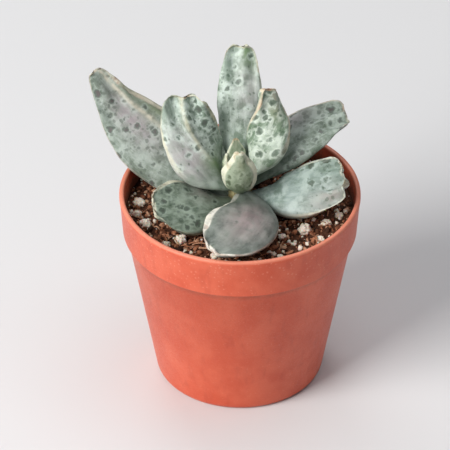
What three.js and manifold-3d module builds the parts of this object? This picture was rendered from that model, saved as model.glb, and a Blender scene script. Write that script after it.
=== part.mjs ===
// A speckled adromischus (a small leaf succulent) in a thin terracotta-coloured nursery pot.
// Millimetres, +Z up, origin at the middle of the pot's underside, +Y away from the viewer.
// The pieces are the pot, the soil with its perlite, the stem, and each leaf.
import * as THREE from "three";
import { mergeVertices } from "three/addons/utils/BufferGeometryUtils.js";
import Module from "manifold-3d";

const wasm = await Module();
wasm.setup();

// Driving dimensions of the pot
const potHeight = 48;
const potTopRadius = 27.5;
const potBaseRadius = 19;
const potWall = 1;
const potSides = 60;
const rimBandHeight = 10;
const rimBandStep = 0.9;
const drainHoleRadius = 2.6;
const drainHoleCircle = 11.5;
const drainHoleCount = 6;

// Driving dimensions of the soil, and its lumps of perlite as [x, y, radius]: those that stand
// out at the front, and how many more are tried round them
const fitGap = 0.3;
const soilBelowRim = 5.2;
const soilLevel = potHeight - soilBelowRim;
const soilRings = 10;
const soilSides = 48;
const plainLumps = [
  [-23.1, 2.2, 1.5],
  [-21.4, -6, 1.6],
  [-13.4, -12.2, 1.5],
  [-16.7, -14, 1.2],
  [-23.4, -2, 1.1],
  [14.6, -8.4, 1.8],
  [9.7, -11, 1.1],
  [19.6, -5.5, 1.2],
  [22.6, -2.6, 1.1],
  [18.2, -12, 1.2],
];
const scatteredLumps = 34;

// Driving dimensions of the stem. Heights of the plant are counted from the pot's rim.
const stemRadius = 3.4;
const stemTopRadius = 1.6;
const stemTop = 6.5;
const stemFoot = -soilBelowRim - 15;

// What all leaves share: the neck's width as a share of the blade's, how fast the blade closes at
// the stem, how much thinner the tip is, the length of the waves of the tip, and a leaf's facets
const leafNeck = 0.34;
const leafHeel = 0.27;
const tipThinning = 0.5;
const waveLength = 4.4;
const leafSides = 24;
const leafRings = 14;
const spineSteps = 24;

// Each leaf. pose: its heading (azimuth from +X towards +Y) and its rise, both in degrees and both
// at the stem and at the tip, the height at which it leaves the stem, and the roll of its blade
// in degrees. blade: length, greatest width and thickness, where along the blade that width lies,
// how wide the tip is for it, and how round the tip is: 0.27 is cut off short, 0.5 an oval.
// edge: height and phase of the waves of the tip.
// fold: the height of a lengthwise fold of the upper face, and its place across the blade.
const leaves = [
  {
    name: "leaf_back_tall",
    pose: { heading: [90, 90], rise: [40, 60], height: 2.6, roll: 0 },
    blade: { length: 30, width: 10.5, thick: 6, widest: 0.62, tip: 0.84, round: 0.32 },
    edge: { wave: 0.6, phase: 0.4 },
  },
  {
    name: "leaf_back_left",
    pose: { heading: [178, 101], rise: [32, 79], height: 2.2, roll: 10 },
    blade: { length: 24.4, width: 15, thick: 7.4, widest: 0.4, tip: 0.84, round: 0.28 },
    edge: { wave: 0.9, phase: 1.7 },
    fold: { height: 0.8, place: -0.1 },
  },
  {
    name: "leaf_left_long",
    pose: { heading: [150, 147], rise: [5, 55], height: -1.6, roll: 40 },
    blade: { length: 43, width: 15.8, thick: 8, widest: 0.52, tip: 0.46, round: 0.4 },
    edge: { wave: 0.5, phase: 2.6 },
    fold: { height: 0.6, place: 0.5 },
  },
  {
    name: "leaf_front_left",
    pose: { heading: [215, 199], rise: [5, 18], height: -1.3, roll: 22 },
    blade: { length: 19.8, width: 15.4, thick: 6.8, widest: 0.68, tip: 0.78, round: 0.38 },
    edge: { wave: 0.5, phase: 0.9 },
  },
  {
    name: "leaf_front",
    pose: { heading: [289, 212], rise: [-3, 3], height: 0.8, roll: 8 },
    blade: { length: 24.2, width: 16.6, thick: 7.2, widest: 0.62, tip: 0.84, round: 0.46 },
    edge: { wave: 0.3, phase: 2.1 },
  },
  {
    name: "leaf_right",
    pose: { heading: [350, 356], rise: [1, 35], height: -0.9, roll: -25 },
    blade: { length: 22.5, width: 14.4, thick: 6.8, widest: 0.8, tip: 0.94, round: 0.3 },
    edge: { wave: 0.9, phase: 3 },
  },
  {
    name: "leaf_right_tall",
    pose: { heading: [14, 140], rise: [40, 84], height: 5, roll: 0 },
    blade: { length: 21, width: 10.5, thick: 6.8, widest: 0.45, tip: 0.54, round: 0.32 },
    edge: { wave: 0.5, phase: 0.2 },
  },
  {
    name: "leaf_right_back",
    pose: { heading: [42, 11], rise: [30, 17], height: 1.5, roll: -11 },
    blade: { length: 27.4, width: 13.2, thick: 6, widest: 0.68, tip: 0.82, round: 0.3 },
    edge: { wave: 0.7, phase: 1.2 },
  },
  {
    name: "leaf_back_low",
    pose: { heading: [86, 96], rise: [4, 16], height: -1.6, roll: 0 },
    blade: { length: 23, width: 12.5, thick: 6.8, widest: 0.6, tip: 0.82, round: 0.32 },
    edge: { wave: 0.7, phase: 2.4 },
  },
  {
    name: "young_leaf_front",
    pose: { heading: [265, 292], rise: [50, 96], height: 2, roll: 12 },
    blade: { length: 14.2, width: 8.2, thick: 3.6, widest: 0.62, tip: 0.48, round: 0.46 },
    edge: { wave: 0.2, phase: 0.5 },
  },
  {
    name: "young_leaf_back",
    pose: { heading: [106, 100], rise: [66, 82], height: 4.9, roll: 0 },
    blade: { length: 7.6, width: 4.4, thick: 2.6, widest: 0.5, tip: 0.5, round: 0.45 },
    edge: { wave: 0.2, phase: 1.5 },
  },
  {
    name: "young_leaf_left",
    pose: { heading: [186, 150], rise: [70, 88], height: 5.2, roll: 0 },
    blade: { length: 5.6, width: 3.4, thick: 2.2, widest: 0.5, tip: 0.5, round: 0.45 },
    edge: { wave: 0.2, phase: 2.5 },
  },
];

const materials = {
  pot: new THREE.MeshStandardMaterial({ color: 0xd8694a, roughness: 0.45, metalness: 0 }),
  soil: new THREE.MeshStandardMaterial({ color: 0x4a3426, roughness: 0.95, metalness: 0 }),
  stem: new THREE.MeshStandardMaterial({ color: 0x8a7a4e, roughness: 0.8, metalness: 0 }),
  leaf: new THREE.MeshStandardMaterial({ color: 0x8fa396, roughness: 0.6, metalness: 0 }),
  youngLeaf: new THREE.MeshStandardMaterial({ color: 0xa3b487, roughness: 0.6, metalness: 0 }),
};

function smooth(from, to, value) {
  const t = THREE.MathUtils.clamp((value - from) / (to - from), 0, 1);
  return t * t * (3 - 2 * t);
}

// A repeatable number from 0 to 1 for a counter and a channel.
function seeded(counter, channel) {
  const spread = 4375.85 * Math.sin(12.9898 * (counter + 1) + 78.233 * channel);
  return THREE.MathUtils.euclideanModulo(spread, 1);
}

// The geometry with only its positions, and the vertices that share a place merged into one.
function closed(geometry) {
  geometry.deleteAttribute("normal");
  geometry.deleteAttribute("uv");
  return mergeVertices(geometry, 1e-4);
}

function solidOf(geometry) {
  const mesh = new wasm.Mesh({
    numProp: 3,
    vertProperties: new Float32Array(geometry.getAttribute("position").array),
    triVerts: new Uint32Array(geometry.index.array),
  });
  return new wasm.Manifold(mesh);
}

function geometryOf(solid) {
  const mesh = solid.getMesh();
  return new THREE.BufferGeometry()
    .setAttribute("position", new THREE.BufferAttribute(new Float32Array(mesh.vertProperties), 3))
    .setIndex(new THREE.BufferAttribute(new Uint32Array(mesh.triVerts), 1));
}

// A turned solid about +Z from [radius, height] points that run up its outside.
function turned(profile, sides) {
  const outline = profile.map(([radius, height]) => new THREE.Vector2(radius, height));
  const lathe = new THREE.LatheGeometry(outline, sides);
  lathe.rotateX(Math.PI / 2);
  return closed(lathe);
}

// Outside of the pot's tapered body, which ends under the rim band.
function bodyRadiusAt(z) {
  const underBand = potTopRadius - rimBandStep - 0.6;
  return THREE.MathUtils.mapLinear(z, 0, potHeight - rimBandHeight, potBaseRadius, underBand);
}

// Inside of the pot's wall.
function innerRadiusAt(z) {
  const bandFoot = potHeight - rimBandHeight;
  if (z < bandFoot) return bodyRadiusAt(z) - potWall;
  const foot = bodyRadiusAt(bandFoot - 1) + rimBandStep - potWall;
  return THREE.MathUtils.mapLinear(z, bandFoot, potHeight, foot, potTopRadius - potWall);
}

function stemRadiusAt(height) {
  return THREE.MathUtils.mapLinear(height, -soilBelowRim, stemTop, stemRadius, stemTopRadius);
}

function potGeometry() {
  const bandFoot = potHeight - rimBandHeight;
  const foot = 1.2;
  const profile = [
    [0, 0],
    [potBaseRadius - foot, 0],
    [potBaseRadius - 0.3 * foot, 0.3 * foot],
    [bodyRadiusAt(foot), foot],
    [bodyRadiusAt(bandFoot - 1), bandFoot - 1],
    [bodyRadiusAt(bandFoot - 1) + rimBandStep, bandFoot],
    [potTopRadius - 0.2, potHeight - 1.1],
    [potTopRadius, potHeight - 0.6],
    [potTopRadius - 0.35, potHeight],
    [potTopRadius - potWall + 0.1, potHeight],
    [potTopRadius - potWall - 0.1, potHeight - 0.6],
    [innerRadiusAt(bandFoot + 1), bandFoot + 1],
    [innerRadiusAt(bandFoot - 1), bandFoot - 0.5],
    [innerRadiusAt(potWall + 1), potWall + 1],
    [innerRadiusAt(potWall) - 1, potWall],
    [0, potWall],
  ];
  let pot = solidOf(turned(profile, potSides));
  for (let k = 0; k < drainHoleCount; k++) {
    const turn = (2 * Math.PI * (k + 0.5)) / drainHoleCount;
    const drill = new THREE.CylinderGeometry(drainHoleRadius, drainHoleRadius, 4 * potWall, 16);
    drill.rotateX(Math.PI / 2);
    drill.translate(drainHoleCircle * Math.cos(turn), drainHoleCircle * Math.sin(turn), 0);
    pot = pot.subtract(solidOf(closed(drill)));
  }
  return geometryOf(pot);
}

// The lumps of perlite on the soil: the plain ones, and seeded ones that find room round the pot.
function perliteLumps() {
  const lumps = [...plainLumps];
  for (let k = 0; k < scatteredLumps; k++) {
    const turn = 2.4 * k + 0.5 * seeded(k, 1);
    const reach = THREE.MathUtils.lerp(12.5, 23.6, Math.sqrt(seeded(k, 2)));
    const place = [reach * Math.cos(turn), reach * Math.sin(turn), 0.6 + 0.6 * seeded(k, 3)];
    const hasRoom = lumps.every(
      ([x, y, radius]) => Math.hypot(x - place[0], y - place[1]) > radius + place[2] + 0.3,
    );
    if (hasRoom) lumps.push(place);
  }
  return lumps;
}

// The soil fills the pot with a gap to its wall, has a plain hole for the stem, an uneven surface,
// and the perlite grown into it.
function soilGeometry() {
  const floor = potWall + fitGap;
  const bandFoot = potHeight - rimBandHeight;
  const holeRadius = stemRadius + fitGap;
  const holeFoot = potHeight + stemFoot - fitGap;
  const wallRadius = innerRadiusAt(soilLevel) - fitGap;
  const profile = [
    [0, floor],
    [innerRadiusAt(floor + 1.5) - fitGap - 1.5, floor],
    [innerRadiusAt(floor + 1.5) - fitGap, floor + 1.5],
    [innerRadiusAt(bandFoot - 2) - fitGap, bandFoot - 2],
    [wallRadius - 0.1, soilLevel - 1],
  ];
  for (let ring = 0; ring <= soilRings; ring++) {
    const radius = THREE.MathUtils.lerp(wallRadius - 0.3, holeRadius, ring / soilRings);
    profile.push([radius, soilLevel]);
  }
  profile.push([holeRadius, holeFoot], [0, holeFoot]);
  const bed = turned(profile, soilSides);
  const points = bed.getAttribute("position");
  for (let i = 0; i < points.count; i++) {
    if (Math.abs(points.getZ(i) - soilLevel) > 0.01) continue;
    const x = points.getX(i);
    const y = points.getY(i);
    const bumps = 0.22 * Math.sin(2.3 * x + 1.1 * y) + 0.2 * Math.sin(1.9 * y - 1.3 * x + 2);
    points.setZ(i, soilLevel + bumps);
  }
  let soil = solidOf(bed);
  for (const [x, y, radius] of perliteLumps()) {
    const lump = new THREE.IcosahedronGeometry(radius);
    lump.scale(1, 0.85, 0.75);
    lump.rotateZ(3 * x + y);
    lump.translate(x, y, soilLevel + 0.25 * radius);
    soil = soil.add(solidOf(closed(lump)));
  }
  return geometryOf(soil);
}

function stemGeometry() {
  const profile = [
    [0, stemFoot],
    [0.45 * stemRadius, stemFoot],
    [0.8 * stemRadius, stemFoot + 6],
    [stemRadius, -soilBelowRim],
    [stemRadiusAt(0), 0],
    [stemRadiusAt(stemTop), stemTop - 1],
    [0.6 * stemTopRadius, stemTop],
    [0, stemTop],
  ];
  return turned(profile, 14);
}

// A point of the unbent blade: along runs from 0 at the stem to 1 at the tip, closing from 0 to 1
// and back to 0 on the same way, side from -1 to 1 across the blade.
function bladePoint(leaf, along, closing, side, isUpper) {
  const { width, thick, widest, tip, round } = leaf.blade;
  const { wave, phase } = leaf.edge;
  const fold = leaf.fold ?? { height: 0, place: 0 };
  const swell = 1 - (1 - leafNeck) * Math.pow(Math.max(0, 1 - along / widest), 2.1);
  const taper = 1 - (1 - tip) * smooth(widest, 1, along);
  const closes = THREE.MathUtils.lerp(leafHeel, round, smooth(0.3, 0.7, along));
  const halfWidth = 0.5 * width * swell * taper * Math.pow(closing, closes);
  const flesh = (0.5 + 0.5 * smooth(0, 0.4, along)) * (1 - tipThinning * smooth(0.5, 1, along));
  const lens = Math.pow(1 - side * side, 0.5 + 0.22 * smooth(0.3, 0.9, along));
  const halfThick = 0.5 * thick * flesh * Math.pow(closing, 0.62) * lens;
  const across = side * halfWidth;
  const waving = Math.sin((2 * Math.PI * across) / waveLength + phase);
  const dish = 0.1 * width * smooth(0.2, 0.9, along) * side * side;
  const crest = Math.exp(-Math.pow((side - fold.place) / 0.25, 2)) * Math.sin(Math.PI * along);
  const face = isUpper ? 0.85 * halfThick + fold.height * crest : -1.15 * halfThick;
  return { across, over: face + dish + wave * smooth(0.55, 1, along) * waving };
}

// The middle line of a leaf in even steps from the stem to the tip: at each step its place and the
// directions of the blade's right-hand side and of its upper face.
function leafSpine({ pose, blade }) {
  const spine = [];
  const place = new THREE.Vector3(0, 0, pose.height);
  for (let k = 0; k <= spineSteps; k++) {
    const share = k / spineSteps;
    const heading = THREE.MathUtils.degToRad(THREE.MathUtils.lerp(...pose.heading, share));
    const rise = THREE.MathUtils.degToRad(THREE.MathUtils.lerp(...pose.rise, share));
    const outward = new THREE.Vector3(Math.cos(heading), Math.sin(heading), 0);
    const onward = outward.clone().multiplyScalar(Math.cos(rise)).setZ(Math.sin(rise));
    if (k === 0) place.addScaledVector(outward, stemRadiusAt(pose.height) + fitGap);
    else place.addScaledVector(onward, blade.length / spineSteps);
    const roll = -THREE.MathUtils.degToRad(pose.roll) * smooth(0, 0.4, share);
    const rightward = new THREE.Vector3(outward.y, -outward.x, 0).applyAxisAngle(onward, roll);
    const upward = rightward.clone().cross(onward);
    spine.push({ place: place.clone(), rightward, upward });
  }
  return spine;
}

// A leaf is a ball whose points are moved onto the blade.
function leafGeometry(leaf) {
  const ball = new THREE.SphereGeometry(1, leafSides, leafRings);
  const points = ball.getAttribute("position");
  const spine = leafSpine(leaf);
  for (let i = 0; i < points.count; i++) {
    const along = THREE.MathUtils.clamp((1 + points.getY(i)) / 2, 0, 1);
    const closing = Math.hypot(points.getX(i), points.getZ(i));
    const turn = closing > 1e-9 ? Math.atan2(points.getZ(i), points.getX(i)) : Math.PI / 2;
    const side = 0.6 * (1 - (2 * Math.abs(turn)) / Math.PI) + 0.4 * Math.cos(turn);
    const { across, over } = bladePoint(leaf, along, closing, side, turn > 0);
    const before = Math.min(Math.floor(along * spineSteps), spineSteps - 1);
    const share = along * spineSteps - before;
    const [from, to] = [spine[before], spine[before + 1]];
    const point = from.place.clone().lerp(to.place, share);
    point.addScaledVector(from.rightward.clone().lerp(to.rightward, share), across);
    point.addScaledVector(from.upward.clone().lerp(to.upward, share), over);
    points.setXYZ(i, point.x, point.y, point.z);
  }
  return closed(ball);
}

function piece(name, geometry, material) {
  const mesh = new THREE.Mesh(geometry, material);
  mesh.name = name;
  return mesh;
}

const plant = new THREE.Group();
plant.position.z = potHeight;
plant.add(piece("stem", stemGeometry(), materials.stem));
for (const leaf of leaves) {
  const isYoung = leaf.name.startsWith("young");
  plant.add(piece(leaf.name, leafGeometry(leaf), isYoung ? materials.youngLeaf : materials.leaf));
}

const pottedPlant = new THREE.Group();
pottedPlant.add(piece("pot", potGeometry(), materials.pot));
pottedPlant.add(piece("soil", soilGeometry(), materials.soil));
pottedPlant.add(plant);

export default pottedPlant;
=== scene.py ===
# The looks of a potted adromischus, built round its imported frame.
# Metres, +Z up, +Y away from the camera.
import math
import random

import bmesh
import bpy
from mathutils import Matrix, Vector, noise


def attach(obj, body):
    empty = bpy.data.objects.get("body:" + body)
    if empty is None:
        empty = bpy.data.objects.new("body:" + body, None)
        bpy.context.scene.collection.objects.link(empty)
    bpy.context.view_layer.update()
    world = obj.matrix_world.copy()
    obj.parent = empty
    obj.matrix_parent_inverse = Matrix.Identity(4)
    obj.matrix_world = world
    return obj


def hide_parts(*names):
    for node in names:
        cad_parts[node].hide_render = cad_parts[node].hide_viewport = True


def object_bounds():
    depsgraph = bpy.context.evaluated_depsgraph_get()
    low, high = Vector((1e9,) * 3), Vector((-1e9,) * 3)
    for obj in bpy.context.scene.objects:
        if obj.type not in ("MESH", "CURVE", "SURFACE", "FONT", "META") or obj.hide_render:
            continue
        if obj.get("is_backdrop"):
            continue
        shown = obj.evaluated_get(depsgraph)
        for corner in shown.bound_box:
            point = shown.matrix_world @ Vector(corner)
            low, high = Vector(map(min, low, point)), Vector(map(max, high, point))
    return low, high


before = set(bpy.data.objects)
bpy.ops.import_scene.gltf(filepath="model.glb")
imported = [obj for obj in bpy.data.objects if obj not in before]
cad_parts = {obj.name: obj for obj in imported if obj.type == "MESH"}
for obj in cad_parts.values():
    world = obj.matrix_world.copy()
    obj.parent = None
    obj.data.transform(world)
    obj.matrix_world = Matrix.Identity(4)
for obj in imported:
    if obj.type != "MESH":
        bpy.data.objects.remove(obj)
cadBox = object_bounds()
mm = 0.001  # the tables below are in millimetres, apart from the studio


def newObject(name, data):
    made = bpy.data.objects.new(name, data)
    bpy.context.scene.collection.objects.link(made)
    return made


def toMesh(bm, name):
    mesh = bpy.data.meshes.new(name)
    bm.to_mesh(mesh)
    bm.free()
    return mesh


# View and light. The camera's distance and nearest, and all of the studio, are in metres.

view = {"elevation": 36, "distance": 1.3, "lens": 455, "nearest": 0.05, "aim": (-3.4, 0, 38.6)}


def makeCamera():
    tilt = math.radians(view["elevation"])
    back = Vector((0, -math.cos(tilt), math.sin(tilt)))
    camera = newObject("camera", bpy.data.cameras.new("camera"))
    camera.data.lens = view["lens"]
    camera.data.clip_start = view["nearest"]
    camera.location = Vector(view["aim"]) * mm + back * view["distance"]
    camera.rotation_euler = (-back).to_track_quat("-Z", "Y").to_euler()
    bpy.context.scene.camera = camera


studio = {
    "lamps": [
        {"name": "key", "at": (-0.72, -0.56, 0.66), "size": 0.6, "watts": 15, "colour": (1, 0.985, 0.96)},
        {"name": "top", "at": (0.2, 0.1, 1.1), "size": 0.8, "watts": 3, "colour": (0.97, 0.985, 1)},
        {"name": "back", "at": (-0.25, 0.8, 0.8), "size": 0.5, "watts": 2.4, "colour": (1, 1, 1)},
    ],
    "lampAim": (0, 0, 0.045),
    "sky": (0.95, 0.97, 1.0, 1),
    "skyStrength": 0.22,
    "floor": (0.7, 0.7, 0.71, 1),
    "floorSize": 3,
}


def makeStudio():
    for lamp in studio["lamps"]:
        light = bpy.data.lights.new(lamp["name"], "AREA")
        light.size = lamp["size"]
        light.energy = lamp["watts"]
        light.color = lamp["colour"]
        made = newObject(lamp["name"], light)
        made.location = lamp["at"]
        way = Vector(studio["lampAim"]) - Vector(lamp["at"])
        made.rotation_euler = way.to_track_quat("-Z", "Y").to_euler()
    world = bpy.data.worlds.new("studio")
    bpy.context.scene.world = world
    world.use_nodes = True
    background = world.node_tree.nodes["Background"].inputs
    background["Color"].default_value = studio["sky"]
    background["Strength"].default_value = studio["skyStrength"]
    bpy.context.scene.view_settings.view_transform = "Standard"


# Helpers for nodes


def addNode(tree, kind, inputs=None, **settings):
    made = tree.nodes.new("ShaderNode" + kind)
    for key, value in settings.items():
        setattr(made, key, value)
    for key, value in (inputs or {}).items():
        if isinstance(value, bpy.types.NodeSocket):
            tree.links.new(value, made.inputs[key])
        else:
            made.inputs[key].default_value = value
    return made


def mixed(tree, share, first, second):
    # sockets 0, 6 and 7 are the factor and the two colours
    wants = {0: share, 6: first, 7: second}
    return addNode(tree, "Mix", wants, data_type="RGBA").outputs[2]


def maths(tree, operation, first, second):
    return addNode(tree, "Math", {0: first, 1: second}, operation=operation).outputs[0]


def plus(tree, first, second):
    return maths(tree, "ADD", first, second)


def minus(tree, first, second):
    return maths(tree, "SUBTRACT", first, second)


def times(tree, first, second):
    return maths(tree, "MULTIPLY", first, second)


def larger(tree, first, second):
    return maths(tree, "MAXIMUM", first, second)


def ramp(tree, value, low, high, start=0.0, end=1.0):
    span = {"Value": value, "From Min": low, "From Max": high, "To Min": start, "To Max": end}
    return addNode(tree, "MapRange", span, interpolation_type="SMOOTHSTEP").outputs[0]


def noiseOf(tree, place, scale, detail=3.0, rough=0.55):
    wants = {"Vector": place, "Scale": scale, "Detail": detail, "Roughness": rough}
    return addNode(tree, "TexNoise", wants).outputs[0]


def clouds(tree, place, scale, low, high, start=0.0, end=1.0, detail=3.0, rough=0.55):
    # noise that goes from start to end where its value goes from low to high
    return ramp(tree, noiseOf(tree, place, scale, detail, rough), low, high, start, end)


def vectors(tree, operation, wants):
    return addNode(tree, "VectorMath", wants, operation=operation).outputs


def scaled(tree, place, by):
    return addNode(tree, "Mapping", {"Vector": place, "Scale": by}).outputs[0]


def objectPlace(tree):
    # Object coordinates in millimetres
    return scaled(tree, addNode(tree, "TexCoord").outputs["Object"], (1 / mm, 1 / mm, 1 / mm))


def heightOf(tree, place):
    return addNode(tree, "SeparateXYZ", {0: place}).outputs[2]


def attribute(tree, name, output="Fac"):
    return addNode(tree, "Attribute", attribute_name=name).outputs[output]


def rgb(red, green, blue):
    # the colour that a screen shows with these values from 0 to 255
    linear = [((c / 255 + 0.055) / 1.055) ** 2.4 for c in (red, green, blue)]
    return (*linear, 1.0)


def newGroup(name, inputs, outputs):
    kinds = {"value": "NodeSocketFloat", "vector": "NodeSocketVector"}
    group = bpy.data.node_groups.new(name, "ShaderNodeTree")
    for label, kind in inputs.items():
        group.interface.new_socket(label, in_out="INPUT", socket_type=kinds[kind])
    for label, kind in outputs.items():
        group.interface.new_socket(label, in_out="OUTPUT", socket_type=kinds[kind])
    given = group.nodes.new("NodeGroupInput").outputs
    return group, given, group.nodes.new("NodeGroupOutput").inputs


def fromGroup(tree, group, **inputs):
    return addNode(tree, "Group", inputs, node_tree=group).outputs


def newMaterial(name, **constants):
    material = bpy.data.materials.new(name)
    material.use_nodes = True
    shader = material.node_tree.nodes["Principled BSDF"]
    for key, value in constants.items():
        shader.inputs[key.replace("_", " ")].default_value = value
    return material, material.node_tree, shader.inputs


def addBump(tree, shader, height, strength, distance):
    bump = addNode(tree, "Bump", {"Strength": strength, "Distance": distance * mm, "Height": height})
    tree.links.new(bump.outputs[0], shader["Normal"])


# Effects that several materials share. A pair is where the effect begins and where it is full,
# measured from a blotch's edge inwards in shares of the spacing, on its lot, or on the noise.

speckleShape = {
    "bendScale": 0.9, "lots": (0.1, 0.75), "largest": 0.38,
    "mask": (-0.09, 0.09), "core": (0.06, 0.26), "halo": (-0.36, -0.06), "haloFor": (0.08, 0.2),
}


def buildSpeckles():
    # blotches of uneven size on a Place in millimetres: Amount grows them and Raggedness bends
    # their outline. Mask is the blotch, Core its heart and Halo the ring round a large one.
    group, given, out = newGroup(
        "speckles",
        {"Place": "vector", "Spacing": "value", "Amount": "value", "Raggedness": "value"},
        {"Mask": "value", "Core": "value", "Halo": "value"},
    )
    bend = {"Vector": given["Place"], "Scale": speckleShape["bendScale"], "Detail": 3.0}
    bent = addNode(group, "TexNoise", bend).outputs["Color"]
    push = vectors(group, "SUBTRACT", {0: bent, 1: (0.5, 0.5, 0.5)})[0]
    reach = vectors(group, "SCALE", {0: push, "Scale": given["Raggedness"]})[0]
    moved = vectors(group, "ADD", {0: given["Place"], 1: reach})[0]
    scale = maths(group, "DIVIDE", 1.0, given["Spacing"])
    cells = addNode(group, "TexVoronoi", {"Vector": moved, "Scale": scale, "Randomness": 1.0}, feature="F1")
    lot = addNode(group, "SeparateColor", {0: cells.outputs["Color"]}).outputs[0]
    size = ramp(group, lot, *speckleShape["lots"], 0.0, speckleShape["largest"])
    radius = times(group, size, given["Amount"])
    inward = minus(group, radius, cells.outputs["Distance"])
    group.links.new(ramp(group, inward, *speckleShape["mask"]), out["Mask"])
    group.links.new(ramp(group, inward, *speckleShape["core"]), out["Core"])
    isLarge = ramp(group, radius, *speckleShape["haloFor"])
    group.links.new(times(group, ramp(group, inward, *speckleShape["halo"]), isLarge), out["Halo"])
    return group


bloomShape = {
    "patchScale": 0.34, "patches": (0.4, 0.66), "streakScale": 0.95, "streaks": (0.48, 0.68),
    "streakStretch": (1.0, 0.2, 1.0), "grainScale": 5.5, "streakRelief": 0.5, "grainRelief": 0.16,
}


def buildBloom():
    # the whitish wax on a leaf: soft patches, streaks along the blade and fine grain
    group, given, out = newGroup(
        "waxBloom",
        {"Place": "vector", "Patches": "value", "Streaks": "value", "Grain": "value"},
        {"Mask": "value", "Relief": "value"},
    )
    stretched = scaled(group, given["Place"], bloomShape["streakStretch"])
    patches = noiseOf(group, given["Place"], bloomShape["patchScale"], 4.0, 0.6)
    streaks = noiseOf(group, stretched, bloomShape["streakScale"], 4.0, 0.6)
    grain = noiseOf(group, given["Place"], bloomShape["grainScale"], 3.0, 0.7)
    fromPatches = times(group, ramp(group, patches, *bloomShape["patches"]), given["Patches"])
    fromStreaks = times(group, ramp(group, streaks, *bloomShape["streaks"]), given["Streaks"])
    both = larger(group, fromPatches, fromStreaks)
    roughened = times(group, minus(group, grain, 0.5), given["Grain"])
    total = addNode(group, "Math", {0: both, 1: roughened}, operation="ADD", use_clamp=True)
    group.links.new(total.outputs[0], out["Mask"])
    fine = times(group, grain, bloomShape["grainRelief"])
    group.links.new(plus(group, times(group, streaks, bloomShape["streakRelief"]), fine), out["Relief"])
    return group


speckles = buildSpeckles()
waxBloom = buildBloom()

# Leaf materials. Colours: flesh and deep are the green below the wax, neck the green patch, blush
# the pink-grey patch, spot and core the speckles, edge the horny margin and horn its worn places.
# Shares: patches and streaks of wax, halo for the pale ring round the large speckles, base for how
# strongly painted shade darkens the foot towards the deep green, and margin for how plain the horny
# margin is. ragged: how far the margin's width wanders, in millimetres. edged: from where along the
# blade it shows.

leafLooks = {
    "leafMint": {
        "flesh": rgb(142, 160, 146), "deep": rgb(104, 124, 106), "wax": rgb(206, 219, 210),
        "neck": rgb(112, 140, 92), "blush": rgb(176, 166, 170), "spot": rgb(60, 82, 64),
        "core": rgb(70, 68, 66), "edge": rgb(214, 210, 184), "horn": rgb(160, 122, 94),
        "patches": 0.9, "streaks": 0.65, "halo": 0.5, "base": 0.5,
        "margin": 0.7, "ragged": 0.7, "edged": 0.25,
    },
    "leafPale": {
        "flesh": rgb(150, 167, 150), "deep": rgb(104, 126, 102), "wax": rgb(218, 228, 216),
        "neck": rgb(132, 152, 108), "blush": rgb(172, 160, 150), "spot": rgb(66, 90, 70),
        "core": rgb(66, 76, 64), "edge": rgb(214, 198, 172), "horn": rgb(168, 120, 92),
        "patches": 0.8, "streaks": 0.7, "halo": 0.6, "base": 0.25,
        "margin": 0.85, "ragged": 0.7, "edged": 0.25,
    },
    "leafLilac": {
        "flesh": rgb(118, 132, 120), "deep": rgb(88, 102, 88), "wax": rgb(170, 181, 173),
        "neck": rgb(106, 116, 84), "blush": rgb(154, 142, 148), "spot": rgb(66, 78, 68),
        "core": rgb(88, 68, 74), "edge": rgb(206, 196, 178), "horn": rgb(170, 134, 116),
        "patches": 0.75, "streaks": 0.6, "halo": 0.35, "base": 0.5,
        "margin": 0.65, "ragged": 0.5, "edged": 0.25,
    },
    "leafDark": {
        "flesh": rgb(98, 112, 96), "deep": rgb(76, 92, 76), "wax": rgb(152, 166, 152),
        "neck": rgb(104, 122, 90), "blush": rgb(146, 138, 136), "spot": rgb(44, 60, 46),
        "core": rgb(52, 50, 46), "edge": rgb(218, 216, 194), "horn": rgb(160, 138, 116),
        "patches": 0.6, "streaks": 0.55, "halo": 0.4, "base": 0.3,
        "margin": 0.8, "ragged": 0.4, "edged": 0.25,
    },
    "leafBlue": {
        "flesh": rgb(140, 156, 151), "deep": rgb(112, 130, 120), "wax": rgb(184, 198, 192),
        "neck": rgb(112, 130, 112), "blush": rgb(150, 144, 138), "spot": rgb(58, 80, 60),
        "core": rgb(60, 64, 54), "edge": rgb(222, 224, 206), "horn": rgb(150, 128, 100),
        "patches": 0.7, "streaks": 0.4, "halo": 0.5, "base": 0.0,
        "margin": 0.85, "ragged": 0.6, "edged": 0.25,
    },
    "leafSmooth": {
        "flesh": rgb(116, 127, 118), "deep": rgb(84, 96, 88), "wax": rgb(156, 163, 156),
        "neck": rgb(112, 124, 104), "blush": rgb(158, 136, 138), "spot": rgb(74, 86, 74),
        "core": rgb(86, 74, 74), "edge": rgb(232, 228, 216), "horn": rgb(190, 170, 156),
        "patches": 0.5, "streaks": 0.35, "halo": 0.2, "base": 0.55,
        "margin": 0.95, "ragged": 0.25, "edged": -0.1,
    },
    "leafYoung": {
        "flesh": rgb(130, 144, 122), "deep": rgb(98, 116, 86), "wax": rgb(170, 182, 160),
        "neck": rgb(110, 124, 82), "blush": rgb(150, 138, 116), "spot": rgb(70, 86, 56),
        "core": rgb(70, 66, 48), "edge": rgb(222, 222, 200), "horn": rgb(176, 150, 116),
        "patches": 0.6, "streaks": 0.5, "halo": 0.4, "base": 0.2,
        "margin": 0.9, "ragged": 0.3, "edged": 0.1,
    },
}

# What all leaf looks share: the spacing and the outline of the large and small speckles, strengths
# from 0 to 1, and the roughness and the relief. margin: how far from the edge the horny margin
# ends and is full, in millimetres. marginRise: over how much of the blade it comes in. foot: where
# along the blade the painted shade at the foot begins, and where it is darkest.

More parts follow.
